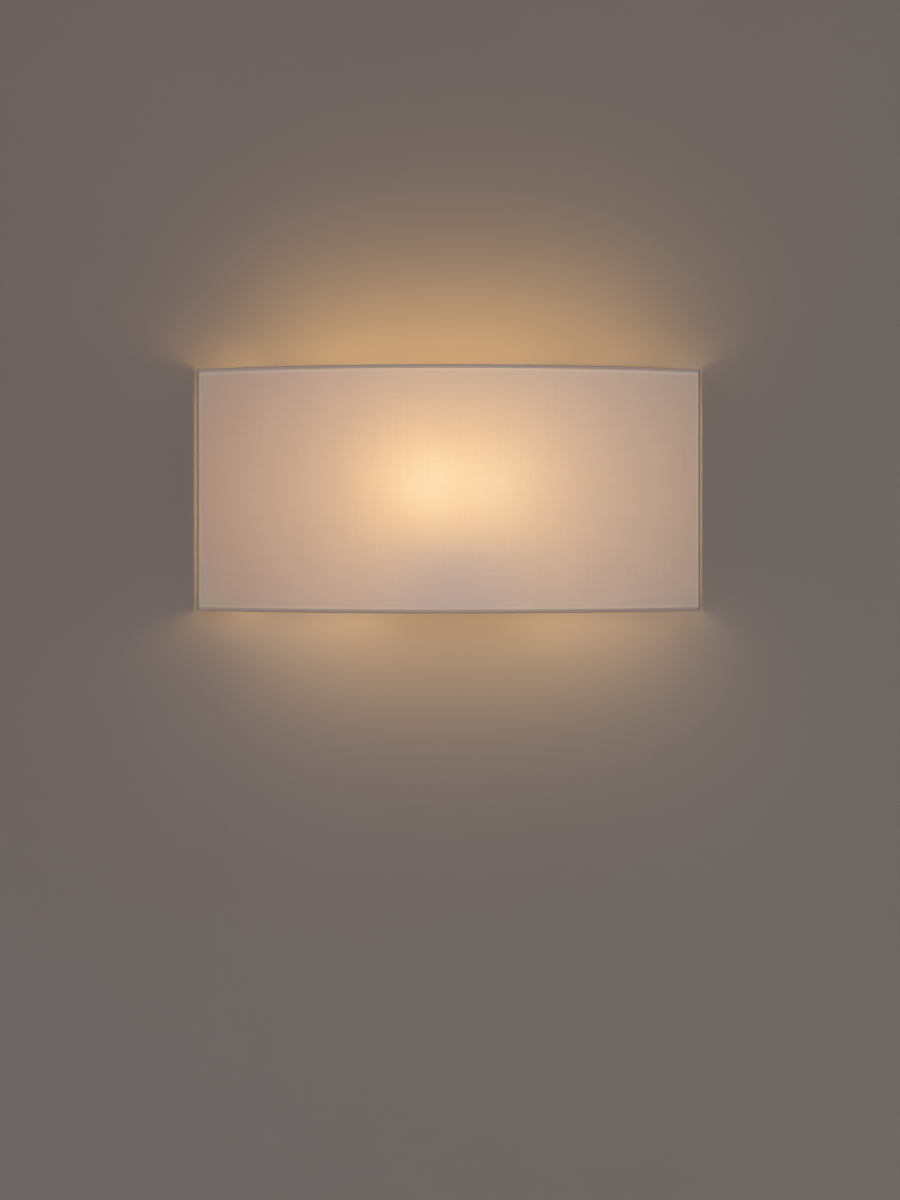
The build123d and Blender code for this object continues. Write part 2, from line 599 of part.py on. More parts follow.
def lamp_tip(side):
    """The contact tip under the insulator."""
    profile = [(0, 0), (TIP_D / 4, 0), (TIP_D / 2, TIP_HEIGHT / 2), (TIP_D / 2, TIP_HEIGHT), (0, TIP_HEIGHT)]
    return turned(profile, lamp_at(side), UP)


def pole_x(pole):
    """The middle of a terminal pole: live, neutral and earth are 0, 1 and 2."""
    return (pole - (POLE_COUNT - 1) / 2) * POLE_PITCH


def terminal_block():
    """The moulded housing of the terminal block, on the wall box's inner face."""
    width, depth, height = BLOCK_SIZE
    back_y = BOX_INNER_Y + depth
    low, high = BLOCK_CENTRE_Z - height / 2, BLOCK_CENTRE_Z + height / 2
    shape = block((-width / 2, width / 2), (BOX_INNER_Y, back_y), (low, high))
    half_pocket = BARREL_SIDE / 2 + SEAT_GAP
    for pole in range(POLE_COUNT):
        x = pole_x(pole)
        shape -= block((x - half_pocket, x + half_pocket), (BARREL_Y - half_pocket, BARREL_Y + half_pocket),
                       (low, high))
        for z in clamp_heights():
            shape -= rod(CLAMP_HEAD_D / 2 + HOLE_FIT, (x, BARREL_Y, z), (x, back_y, z))
    for side in SIDES.values():
        x = side * POLE_PITCH / 2
        shape -= rod(M3_D / 2 + HOLE_FIT, (x, BOX_INNER_Y, BLOCK_CENTRE_Z), (x, back_y, BLOCK_CENTRE_Z))
        head_r = M3_D * HEAD_WIDTH_RATIO / 2 + HOLE_FIT
        shape -= rod(head_r, (x, BLOCK_SEAT_Y, BLOCK_CENTRE_Z), (x, back_y, BLOCK_CENTRE_Z))
    return shape


def block_screw(side):
    """A screw that holds the terminal block to the wall box's inner face."""
    seat = (side * POLE_PITCH / 2, BLOCK_SEAT_Y, BLOCK_CENTRE_Z)
    return screw(M3_D, BLOCK_SEAT_Y - BOX_FRONT_Y, seat, BACKWARD)


def clamp_heights():
    """The heights of the two clamp screws in each pole."""
    return (BLOCK_CENTRE_Z - CLAMP_SCREW_OFFSET, BLOCK_CENTRE_Z + CLAMP_SCREW_OFFSET)


def terminal_barrel(pole):
    """A brass barrel with a wire hole and two clamp screw holes."""
    x, half = pole_x(pole), BARREL_SIDE / 2
    low, high = BLOCK_CENTRE_Z - BARREL_LENGTH / 2, BLOCK_CENTRE_Z + BARREL_LENGTH / 2
    shape = block((x - half, x + half), (BARREL_Y - half, BARREL_Y + half), (low, high))
    shape -= rod(BARREL_BORE_D / 2, (x, BARREL_Y, low), (x, BARREL_Y, high))
    for z in clamp_heights():
        shape -= rod(CLAMP_SCREW_D / 2 + THREAD_FIT, (x, BARREL_Y, z), (x, BARREL_Y + half, z))
    return shape


def clamp_screw(pole, z):
    """A slotted clamp screw that presses on the wires in a barrel."""
    x = pole_x(pole)
    start = BARREL_Y + HALF_CABLE_D + SEAT_GAP
    head = BARREL_Y + BARREL_SIDE / 2 + SEAT_GAP
    top = BOX_INNER_Y + BLOCK_SIZE[1] - 3 * SEAT_GAP
    shape = rod(CLAMP_SCREW_D / 2, (x, start, z), (x, head, z))
    shape += rod(CLAMP_HEAD_D / 2, (x, head, z), (x, top, z))
    half_slot, slot_depth = CLAMP_SLOT_WIDTH / 2, CLAMP_HEAD_D / 4
    across = (x - CLAMP_HEAD_D, x + CLAMP_HEAD_D)
    return shape - block(across, (top - slot_depth, top), (z - half_slot, z + half_slot))


def grommet():
    """The rubber ring in the wall box's bottom side, round the wires."""
    bore, hole, lip = GROMMET_BORE_D / 2, GROMMET_HOLE_D / 2, GROMMET_LIP_D / 2
    top = BOX_T + GROMMET_LIP_T
    profile = [
        (bore, -GROMMET_LIP_T), (lip, -GROMMET_LIP_T), (lip, 0), (hole, 0), (hole, BOX_T),
        (lip, BOX_T), (lip, top), (bore, top),
    ]
    return turned(profile, (0, BAR_Y, BOX_BOTTOM), UP)


def cable(points):
    """A wire along straight runs joined by arcs nearly as large as the runs allow."""
    points = [Vector(*p) for p in points]
    runs = [b - a for a, b in zip(points, points[1:])]
    radii = []
    for before, after in zip(runs, runs[1:]):
        half_turn = radians(before.get_angle(after)) / 2
        radii.append(0.45 * min(before.length, after.length) / tan(half_turn))
    path = FilletPolyline(*points, radius=radii)
    section = Plane(origin=path @ 0, z_dir=path % 0) * Circle(HALF_CABLE_D)
    print(f"wire {path.length:.1f} long, bends of radius {[round(r, 1) for r in radii]}")
    return sweep(section, path=path)


def lamp_wire(pole, side):
    """A wire from a terminal pole down through the grommet and up into a lampholder's threaded tube."""
    spread = HALF_CABLE_D + WIRE_GAP / 2
    depth = spread if pole else -spread              # neutral runs behind live
    start_x = pole_x(pole) + side * spread
    lamp_x = side * LAMP_SPACING / 2
    out = LAMP_Y - BAR_Y
    first_drop, second_drop, last_drop = LOOP_DROPS
    return cable([
        (start_x, BARREL_Y, BLOCK_CENTRE_Z - WIRE_BARE_REACH),
        (start_x, BARREL_Y, BLOCK_CENTRE_Z - LEAD_DROP),
        (side * spread, BAR_Y + depth, BOX_BOTTOM + LEAD_ABOVE_GROMMET),
        (side * spread, BAR_Y + depth, BOX_BOTTOM - LEAD_BELOW_GROMMET),
        (0.26 * lamp_x, BAR_Y + 0.25 * out + 2 * depth, TUBE_MOUTH - first_drop),
        (0.62 * lamp_x, BAR_Y + 0.6 * out + 2 * depth, TUBE_MOUTH - second_drop),
        (lamp_x - side * LOOP_SIDESTEP, LAMP_Y + LOOP_OVERSHOOT + 1.5 * depth, TUBE_MOUTH - last_drop),
        (lamp_x, LAMP_Y + 1.1 * depth, TUBE_MOUTH - MOUTH_DROP),
        (lamp_x, LAMP_Y + 1.1 * depth, SHELF_TOP + CORE_BOTTOM - SEAT_GAP),
    ])


def earth_wire():
    """The earth wire from its pole to the tag on the wall box."""
    start_x = pole_x(POLE_COUNT - 1)
    tag_y = BOX_INNER_Y + TAG_BARREL_D / 2
    reach = EARTH_SCREW_X - start_x
    first_drop, second_drop, last_drop = EARTH_DROPS
    return cable([
        (start_x, BARREL_Y, BLOCK_CENTRE_Z - WIRE_BARE_REACH),
        (start_x, BARREL_Y, BLOCK_CENTRE_Z - first_drop),
        (start_x + 0.3 * reach, BARREL_Y, BLOCK_CENTRE_Z - second_drop),
        (start_x + 0.75 * reach, tag_y, BLOCK_CENTRE_Z - last_drop),
        (EARTH_SCREW_X, tag_y, TAG_BOTTOM - EARTH_RISE),
        (EARTH_SCREW_X, tag_y, TAG_BOTTOM + 0.6 * TAG_BARREL_LENGTH),
    ])


def earth_screw():
    """The screw that holds the tag to the wall box's inner face."""
    return screw(M4_D, TAG_T + BOX_T, (EARTH_SCREW_X, BOX_INNER_Y + TAG_T, EARTH_SCREW_Z), BACKWARD)


def earth_tag():
    """The ring tag on the earth wire's end, under the earth screw."""
    x, y, z = EARTH_SCREW_X, BOX_INNER_Y, EARTH_SCREW_Z
    ring_front = y + TAG_T
    barrel_y = y + TAG_BARREL_D / 2
    barrel_ends = ((x, barrel_y, TAG_BOTTOM), (x, barrel_y, z - TAG_RING_D / 2 + TAG_OVERLAP))
    head_room = M4_D * HEAD_WIDTH_RATIO / 2 + HOLE_FIT
    shape = rod(TAG_RING_D / 2, (x, y, z), (x, ring_front, z)) + rod(TAG_BARREL_D / 2, *barrel_ends)
    shape -= rod(head_room, (x, ring_front, z), (x, ring_front + TAG_BARREL_D, z))
    shape -= rod(M4_D / 2 + HOLE_FIT, (x, y, z), (x, ring_front, z))
    return shape - rod(HALF_CABLE_D + THREAD_FIT, *barrel_ends)


def all_pieces():
    """Every node by name. A list holds like pieces that share one node."""
    sides = list(SIDES.values())
    pieces = {
        "shade_cloth": cloth(),
        "shade_liner": liner(),
        "top_front_wire": bow_rod(WIRE_D / 2, WIRE_Z),
        "bottom_front_wire": bow_rod(WIRE_D / 2, -WIRE_Z),
        "top_back_bar": back_bar(BAR_D / 2, 1),
        "bottom_back_bar": back_bar(BAR_D / 2, -1),
        "wall_strap": wall_strap(),
        "strap_pillars": [pillar(s) for s in sides],
        "wall_box": wall_box(),
        "box_screws": [box_screw(s) for s in sides],
        "thread_inserts": [insert(s) for s in sides],
        "locating_pegs": [peg(s) for s in sides],
        "lamp_shelf": lamp_shelf(),
        "shelf_screws": [shelf_screw(s) for s in sides],
        "shelf_nuts": [shelf_nut(s) for s in sides],
        "threaded_tubes": [nipple(s) for s in sides],
        "lock_washers": [lock_washer(s) for s in sides],
        "lock_nuts": [lock_nut(s) for s in sides],
        "terminal_block": terminal_block(),
        "block_screws": [block_screw(s) for s in sides],
        "terminal_barrels": [terminal_barrel(p) for p in range(POLE_COUNT)],
        "terminal_clamp_screws": [clamp_screw(p, z) for p in range(POLE_COUNT) for z in clamp_heights()],
        "grommet": grommet(),
        "earth_wire": earth_wire(),
        "earth_tag": earth_tag(),
        "earth_screw": earth_screw(),
    }
    for name, side in SIDES.items():
        shank, head = thumb_screw(side)
        pieces[f"{name}_end_wire"] = upright(WIRE_D / 2, side, WIRE_Z - WIRE_D / 2)
        pieces[f"{name}_arm"] = arm(side)
        pieces[f"{name}_thumb_screw_shank"] = shank
        pieces[f"{name}_thumb_screw_head"] = head
        pieces[f"{name}_holder_base"] = holder_base(side)
        pieces[f"{name}_holder_sleeve"] = holder_sleeve(side)
        pieces[f"{name}_holder_core"] = holder_core(side)
        pieces[f"{name}_socket_shell"] = socket_shell(side)
        pieces[f"{name}_centre_contact"] = centre_contact(side)
        pieces[f"{name}_lamp_globe"] = lamp_globe(side)
        pieces[f"{name}_lamp_neck"] = lamp_neck(side)
        pieces[f"{name}_lamp_cap"] = lamp_cap(side)
        pieces[f"{name}_lamp_insulator"] = lamp_insulator(side)
        pieces[f"{name}_lamp_tip"] = lamp_tip(side)
        pieces[f"{name}_live_wire"] = lamp_wire(0, side)
        pieces[f"{name}_neutral_wire"] = lamp_wire(1, side)
    return pieces


os.makedirs("parts", exist_ok=True)
for node, shape in all_pieces().items():
    if isinstance(shape, list):
        shape = Compound(children=[Part(s.wrapped) if not isinstance(s, Part) else s for s in shape])
    export_step(shape, f"parts/{node}.step")
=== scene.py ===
"""Dresses the wall light: finer fabric, procedural finishes, glow, stage, lights and camera."""
from collections import namedtuple
from math import asin, cos, pi, radians, sin, sqrt
import bmesh
import bpy
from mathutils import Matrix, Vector


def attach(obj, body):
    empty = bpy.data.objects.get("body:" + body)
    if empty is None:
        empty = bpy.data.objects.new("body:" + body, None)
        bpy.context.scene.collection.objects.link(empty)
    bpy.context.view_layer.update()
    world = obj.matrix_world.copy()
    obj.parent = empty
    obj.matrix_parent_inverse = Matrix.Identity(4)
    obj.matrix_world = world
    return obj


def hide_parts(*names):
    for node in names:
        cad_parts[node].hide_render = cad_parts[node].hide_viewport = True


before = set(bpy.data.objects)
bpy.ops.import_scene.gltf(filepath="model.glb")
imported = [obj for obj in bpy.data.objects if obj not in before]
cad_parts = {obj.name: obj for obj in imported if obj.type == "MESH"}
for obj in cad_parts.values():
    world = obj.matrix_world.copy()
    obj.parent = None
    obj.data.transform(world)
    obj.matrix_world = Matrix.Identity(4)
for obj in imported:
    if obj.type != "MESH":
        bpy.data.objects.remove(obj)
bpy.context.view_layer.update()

# Sizes of the part, in metres, as its source has them
WIRE_R = 0.001
CLOTH_T = 0.0005
ROLL_R = WIRE_R + CLOTH_T
END_ROLL_R = ROLL_R + 0.0001
ROLL_PROUD = 0.0002
WIRE_X = 0.2484
WIRE_BACK_Y = -0.0036
WIRE_Z = 0.1185
SHADE_TOP = 0.120
SHADE_SIDE = 0.250
BOW_DEPTH = 0.1149
BOW_R = (WIRE_X**2 + BOW_DEPTH**2) / (2 * BOW_DEPTH)
BOW_CENTRE_Y = BOW_R - 0.1185
BOW_HALF_ANGLE = asin(WIRE_X / BOW_R)
HALF_BOW = BOW_R * BOW_HALF_ANGLE
CLOTH_R = BOW_R + ROLL_R - ROLL_PROUD
LAMP_X = 0.032
LAMP_Y = -0.048
GLOBE_Z = 0.006
SIDES = {"left": -1, "right": 1}

# Fabric mesh
BOW_STEPS = 160              # columns along the bow
FACE_ROWS = 24               # rows up the flat cloth
ROLL_STEPS = 16              # points round a rolled edge
END_ROLL_STEPS = 32          # points round an end roll
END_ROUNDING = ((0.0, 0.72), (0.00025, 0.92), (0.0007, 1.0))     # from the end, and the share of the radius
CREASE_DROP = 0.0006         # the crease starts this far inside the roll's edge
CREASE_DEPTH = 0.00022
CREASE_PLACE = 0.75          # of the drop, where the crease is deepest
SHARP_EDGE = radians(50)


class Shader:
    """A Principled material built node by node, in the object's own coordinates."""

    def __init__(self, name, roughness, **constants):
        self.material = bpy.data.materials.new(name)
        self.material.use_nodes = True
        self.tree = self.material.node_tree
        self.surface = self.tree.nodes["Principled BSDF"]
        self.surface.inputs["Roughness"].default_value = roughness
        for key, value in constants.items():
            self.surface.inputs[key.replace("_", " ")].default_value = value
        self.place = self.node("ShaderNodeTexCoord").outputs["Object"]

    def node(self, kind, **settings):
        made = self.tree.nodes.new(kind)
        for key, value in settings.items():
            setattr(made, key, value)
        return made

    def feed(self, socket, value):
        if isinstance(value, bpy.types.NodeSocket):
            self.tree.links.new(value, socket)
        else:
            socket.default_value = value

    def math(self, operation, *values):
        made = self.node("ShaderNodeMath", operation=operation)
        for socket, value in zip(made.inputs, values):
            self.feed(socket, value)
        return made.outputs[0]

    def total(self, *values):
        result = values[0]
        for value in values[1:]:
            result = self.math("ADD", result, value)
        return result

    def product(self, *values):
        result = values[0]
        for value in values[1:]:
            result = self.math("MULTIPLY", result, value)
        return result

    def squared(self, value, centre, size):
        """The square of (value - centre) / size."""
        return self.math("POWER", self.math("DIVIDE", self.math("SUBTRACT", value, centre), size), 2)

    def axes(self):
        """The place as separate x, y and z."""
        split = self.node("ShaderNodeSeparateXYZ")
        self.feed(split.inputs[0], self.place)
        return split.outputs

    def vector(self, *values):
        made = self.node("ShaderNodeCombineXYZ")
        for socket, value in zip(made.inputs, values):
            self.feed(socket, value)
        return made.outputs[0]

    def scaled(self, stretch, place=None):
        made = self.node("ShaderNodeVectorMath", operation="MULTIPLY")
        self.feed(made.inputs[0], self.place if place is None else place)
        self.feed(made.inputs[1], stretch)
        return made.outputs[0]

    def noise(self, stretch, detail=2.0, roughness=0.5, place=None):
        """Noise with stretch as its cells per metre along each axis."""
        made = self.node("ShaderNodeTexNoise")
        self.feed(made.inputs["Vector"], self.scaled(stretch, place))
        self.feed(made.inputs["Scale"], 1.0)
        self.feed(made.inputs["Detail"], detail)
        self.feed(made.inputs["Roughness"], roughness)
        return made.outputs["Fac"]

    def spread(self, value, low, high, start=0.25, end=0.75):
        """value from start to end becomes low to high."""
        made = self.node("ShaderNodeMapRange")
        for socket, number in zip(made.inputs, (value, start, end, low, high)):
            self.feed(socket, number)
        return made.outputs[0]

    def mix(self, factor, first, second, blend="MIX"):
        made = self.node("ShaderNodeMix", data_type="RGBA", blend_type=blend)
        self.feed(made.inputs[0], factor)
        for socket, colour in ((made.inputs[6], first), (made.inputs[7], second)):
            self.feed(socket, colour if isinstance(colour, bpy.types.NodeSocket) else (*colour, 1))
        return made.outputs[2]

    def colour(self, red, green, blue):
        made = self.node("ShaderNodeCombineColor")
        for socket, value in zip(made.inputs, (red, green, blue)):
            self.feed(socket, value)
        return made.outputs[0]

    def bump(self, height, distance, strength=1.0):
        made = self.node("ShaderNodeBump")
        self.feed(made.inputs["Height"], height)
        made.inputs["Distance"].default_value = distance
        made.inputs["Strength"].default_value = strength
        self.feed(self.surface.inputs["Normal"], made.outputs[0])

    def paint(self, key, value):
        self.feed(self.surface.inputs[key], value)

    def shine(self, level, colour, strength=1.0):
        """Own light of a colour, as strong as level at each place."""
        self.paint("Emission Color", self.colour(*(self.math("MULTIPLY", level, part) for part in colour)))
        self.surface.inputs["Emission Strength"].default_value = strength


def shaded(colour, factor):
    return tuple(channel * factor for channel in colour)


def even(cells):
    """The same number of noise cells per metre along each axis."""
    return (cells, cells, cells)


HANDLING_CELLS = (160, 160, 900)     # noise cells per metre of the marks on a coated piece


def coated(name, colour, roughness, grain, grain_depth):
    """Lacquer, plastic, ceramic or rubber: a fine grain, faint cloudiness and handling marks."""
    shader = Shader(name, roughness)
    cloud = shader.noise(even(35), detail=4)
    base = shader.mix(shader.spread(cloud, 0, 1), shaded(colour, 0.93), shaded(colour, 1.03))
    marks = shader.noise(HANDLING_CELLS, detail=5, roughness=0.65)
    marked = shader.spread(marks, 0, 0.22, 0.60, 0.78)
    shader.paint("Base Color", shader.mix(marked, base, shaded(colour, 0.72)))
    shader.paint("Roughness", shader.spread(marks, roughness - 0.05, roughness + 0.10))
    shader.bump(shader.noise(even(grain), detail=3), grain_depth)
    return shader.material


def plated(name, colour, roughness, brush):
    """Plated or turned metal: mottling, fine tool marks along one direction and duller patches."""
    shader = Shader(name, roughness, Metallic=1.0)
    mottle = shader.noise(even(220), detail=4, roughness=0.6)
    tool = shader.noise(brush, detail=3, roughness=0.6)
    base = shader.mix(shader.spread(mottle, 0, 1), shaded(colour, 0.80), shaded(colour, 1.06))
    tooled = shader.spread(tool, 0, 0.30, 0.45, 0.75)
    shader.paint("Base Color", shader.mix(tooled, base, shaded(colour, 0.65)))
    shader.paint("Roughness", shader.total(shader.spread(mottle, roughness - 0.06, roughness + 0.10),
                                           shader.spread(tool, -0.04, 0.06)))
    shader.bump(tool, 0.00003, 0.7)
    return shader.material


BAND_PITCH = 0.006           # of the earth sheath's two colours


def striped(name, first, second):
    """Two-colour cable sheath, in slanting bands."""
    shader = Shader(name, 0.42)
    band = shader.math("SINE", shader.math("MULTIPLY", shader.total(*shader.axes()), 2 * pi / BAND_PITCH))
    grain = shader.noise(even(900), detail=3)
    base = shader.mix(shader.spread(band, 0, 1, -0.08, 0.08), first, second)
    shader.paint("Base Color", shader.mix(shader.spread(grain, 0, 0.25), base, shaded(first, 0.5)))
    shader.bump(grain, 0.00002)
    return shader.material


# The glow painted on the fabric as its own light, from two lamps side by side: a broad fall-off, two wide
# lobes and two hot cores, dimmed low in the middle by the lampholders. Lengths in metres, light in linear
# units.
GLOW_CENTRE = (0.0054, 0.0042)
GLOW_REACH = (0.285, 0.208)
LOBES = ((-0.0355, 0.0078, 0.294), (0.0490, 0.0078, 0.205))      # x, z and weight
LOBE_SIZE = 0.060
CORES = ((-0.0170, 0.0065, 0.95), (0.0400, 0.0055, 0.48))
CORE_SIZE = 0.0290
HOLDER_SHADE = (-0.0532, 0.0091, 0.0700)     # height, softness and half width
HOLDER_DEPTH = (0.18, 0.13, -0.13)           # the little light left there is bluish
GLOW_BROAD = (0.785, 0.491, 0.1415)
GLOW_CORE = (-0.046, 0.075, 0.083)
GLOW_LEVEL = (-0.042, -0.009, 0.147)
GLOW_TILT = (0.030, 0.075, 0.085)            # per metre towards +X
GLOW_EDGE = (0.0, 0.0, -12.0)                # for the fourth power of the metres from the middle
GLOW_RIM = (-1500.0, 5800.0, 5500.0)         # for the sixth power of the metres above or below it
STUDIO_LEVEL = 0.873                         # how bright the studio's light shows a colour, as a share of it

# Colours of the cloth and its rolls, with painted shade on the front of the rolls and more on their crest,
# and the light that comes through where it is layered or single
FABRIC = (0.330, 0.282, 0.212)
# Painted shade: the front of the rolls is darker than the flat cloth, and their crest is darker still; their
# back keeps a paler cloth colour
ROLLED_PAINTED_SHADE = (0.150, 0.125, 0.115)
CREST_PAINTED_SHADE = (0.140, 0.092, 0.060)
ROLLED_BACK = (0.50, 0.47, 0.43)
ROLLED_GLOW = (0.235, 0.160, 0.125)
STRIP_GLOW = (0.022, 0.034, 0.024)           # more light through the single cloth beside the rolls
CREST_GLOW = 0.25                            # share of the roll's glow that is left on its crest

# Where one look gives way to the next: from and to this many metres inside the line that is named
ROLL_FADE = (0.0009, 0.0002)                 # top and bottom roll's edge
END_ROLL_FADE = (0.0011, 0.0004)             # end roll's edge
STRIP_FADE = (0.0052, 0.0044)                # wire, for the strip of single cloth
TOP_CREST_SHADE = (0.0013, 0.0005)                 # shade's top and bottom, for the roll's crest, painted darker as shade
END_CREST_SHADE = (0.0020, 0.0011)                 # shade's sides, for the end rolls' crest, painted darker as shade
INNER_FADE = (0.0014, 0.0008)                # wire, for the cloth's front seen from the axis
BACK_FADE = (0.0002, -0.0004)                # wire's arc, for the back of the rolls, which has no painted shade
INNER_SHIFT = 0.0009                         # the back of the flat cloth is this far in front of the rolls'


def fade(shader, value, low, high, line, widths):
    """low to high as value passes from the first to the second width inside a line."""
    return shader.spread(value, low, high, line - widths[0], line - widths[1])


def lobe(shader, x, z, centre_x, centre_z, size, weight):
    """A round patch of light that falls off smoothly."""
    across = shader.squared(x, centre_x, size)
    up = shader.squared(z, centre_z, size)
    fall = shader.math("EXPONENT", shader.math("MULTIPLY", shader.math("ADD", across, up), -1))
    return shader.math("MULTIPLY", fall, weight)


def glow_terms(shader, x, z):
    """The broad part, the core part and the holders' shade of the glow at (x, z)."""
    across = shader.squared(x, GLOW_CENTRE[0], GLOW_REACH[0])
    up = shader.squared(z, GLOW_CENTRE[1], GLOW_REACH[1])
    broad = shader.math("DIVIDE", 1, shader.total(across, up, 1))
    for centre_x, centre_z, weight in LOBES:
        broad = shader.math("ADD", broad, lobe(shader, x, z, centre_x, centre_z, LOBE_SIZE, weight))
    core = 0
    for centre_x, centre_z, weight in CORES:
        core = shader.math("ADD", core, lobe(shader, x, z, centre_x, centre_z, CORE_SIZE, weight))
    height, softness, half_width = HOLDER_SHADE
    low = shader.math("DIVIDE", shader.math("SUBTRACT", z, height), softness)
    low = shader.math("DIVIDE", 1, shader.math("ADD", shader.math("EXPONENT", low), 1))
    middle = shader.math("MULTIPLY", shader.squared(x, GLOW_CENTRE[0], half_width), -1)
    return broad, core, shader.math("MULTIPLY", low, shader.math("EXPONENT", middle))


def weave(shader, along, z):
    """The height of the weave, and the streaks it leaves: uneven threads both ways, and slubs along them."""
    flat = shader.vector(along, 0, z)
    warp = shader.noise((1500, 1, 45), detail=1, place=flat)
    weft = shader.noise((38, 1, 1500), detail=1, place=flat)
    warp_slub = shader.noise((420, 1, 9), detail=2, roughness=0.6, place=flat)
    weft_slub = shader.noise((8, 1, 460), detail=2, roughness=0.6, place=flat)
    cloud = shader.noise((30, 1, 30), detail=3, place=flat)
    threads = shader.math("ADD", warp, weft)
    streaks = shader.total(shader.spread(warp_slub, -0.018, 0.018), shader.spread(weft_slub, -0.016, 0.016),
                           shader.spread(cloud, -0.014, 0.014),
                           shader.spread(threads, -0.018, 0.018, 0.6, 1.4))
    relief = shader.total(threads, shader.math("MULTIPLY", warp_slub, 0.5),
                          shader.math("MULTIPLY", weft_slub, 0.5))
    return relief, streaks


def cloth_masks(shader, x, to_axis, z, along):
    """From 0 to 1: the flat cloth, the single cloth beside the rolls, the rolls' crest, where shade is
    painted, and their back, which is left without painted shade.
    """
    height = shader.math("ABSOLUTE", z)
    reach = shader.math("ABSOLUTE", along)
    open_cloth = shader.product(fade(shader, height, 1, 0, WIRE_Z - ROLL_R, ROLL_FADE),
                                fade(shader, reach, 1, 0, HALF_BOW - END_ROLL_R, END_ROLL_FADE))
    edge = shader.math("MAXIMUM", fade(shader, height, 0, 1, WIRE_Z, STRIP_FADE),
                       fade(shader, reach, 0, 1, HALF_BOW, STRIP_FADE))
    strip = shader.math("MULTIPLY", edge, open_cloth)
    shaded_crest = shader.math("MAXIMUM", fade(shader, height, 0, 1, SHADE_TOP, TOP_CREST_SHADE),
                        fade(shader, shader.math("ABSOLUTE", x), 0, 1, SHADE_SIDE, END_CREST_SHADE))
    from_axis = shader.node("ShaderNodeVectorMath", operation="LENGTH")
    shader.feed(from_axis.inputs[0], shader.vector(x, to_axis, 0))
    inner = shader.product(fade(shader, height, INNER_SHIFT, 0, WIRE_Z, INNER_FADE),
                           fade(shader, reach, 1, 0, HALF_BOW, INNER_FADE))
    behind = shader.math("SUBTRACT", from_axis.outputs["Value"], inner)
    return open_cloth, strip, shaded_crest, fade(shader, behind, 1, 0, BOW_R, BACK_FADE)


def light_through(shader, x, z, open_cloth, strip, shaded_crest, tint):
    """The light that comes through the cloth, less what the studio's light already adds."""
    broad, core, holder = glow_terms(shader, x, z)
    through_roll = shader.math("MULTIPLY", broad, shader.spread(shaded_crest, 1, CREST_GLOW, 0, 1))
    light = []
    for k in range(3):
        level = shader.math("MULTIPLY_ADD", x, GLOW_TILT[k], GLOW_LEVEL[k] - STUDIO_LEVEL * FABRIC[k])
        level = shader.total(level, shader.math("MULTIPLY", shader.math("POWER", x, 4), GLOW_EDGE[k]),
                             shader.math("MULTIPLY", shader.math("POWER", z, 6), GLOW_RIM[k]))
        unshaded = shader.math("SUBTRACT", 1, shader.math("MULTIPLY", holder, HOLDER_DEPTH[k]))
        value = shader.total(shader.product(broad, unshaded, GLOW_BROAD[k]),
                             shader.math("MULTIPLY", core, GLOW_CORE[k]), level)
        value = shader.math("MULTIPLY", shader.math("MAXIMUM", value, 0), tint)
        value = shader.math("ADD", value, shader.math("MULTIPLY", strip, STRIP_GLOW[k]))
        rolled = shader.math("MULTIPLY", through_roll, ROLLED_GLOW[k])
        light.append(shader.spread(open_cloth, rolled, value, 0, 1))
    return shader.colour(*light)


def fabric_material():
    """White woven cloth, with the light from behind painted on as its own glow where it is flat, opaque where
    it is rolled, and with painted shade on the rolls.
    """
    shader = Shader("woven_fabric", 0.88, Sheen_Weight=0.12, Sheen_Roughness=0.5)
    x, y, z = shader.axes()
    to_axis = shader.math("SUBTRACT", BOW_CENTRE_Y, y)
    along = shader.math("MULTIPLY", shader.math("ARCTAN2", x, to_axis), BOW_R)
    relief, streaks = weave(shader, along, z)
    tint = shader.math("ADD", streaks, 1)
    open_cloth, strip, shaded_crest, behind = cloth_masks(shader, x, to_axis, z, along)
    shader.paint("Emission Color", light_through(shader, x, z, open_cloth, strip, shaded_crest, tint))
    shader.surface.inputs["Emission Strength"].default_value = 1.0
    # Painted shade on the rolls: their front is darker than the flat cloth, their crest darker still, and
    # their back paler
    base = shader.mix(shaded_crest, shader.mix(open_cloth, ROLLED_PAINTED_SHADE, FABRIC), CREST_PAINTED_SHADE)
    base = shader.mix(behind, base, ROLLED_BACK)
    tinted = shader.node("ShaderNodeVectorMath", operation="SCALE")
    shader.feed(tinted.inputs[0], base)
    shader.feed(tinted.inputs["Scale"], tint)
    shader.paint("Base Color", tinted.outputs[0])
    shader.bump(relief, 0.00012, 0.6)
    return shader.material


LINER_GLOW = (0.34, 0.24, 0.13)


def liner_material():
    """Milky film behind the fabric, with the lamps' light on its inner side painted on as its own glow."""
    shader = Shader("liner_film", 0.45)
    x, _, z = shader.axes()
    broad = glow_terms(shader, x, z)[0]
    cloud = shader.noise(even(60), detail=3)
    shader.shine(shader.math("MULTIPLY", broad, shader.spread(cloud, 0.96, 1.02)), LINER_GLOW)
    shader.paint("Base Color", shader.mix(shader.spread(cloud, 0, 1), (0.66, 0.62, 0.56), (0.72, 0.68, 0.62)))
    shader.bump(shader.noise(even(2500), detail=2), 0.00002)
    return shader.material


OPAL_GLOW = (1.0, 0.64, 0.42)
OPAL_STRENGTH = 1.15


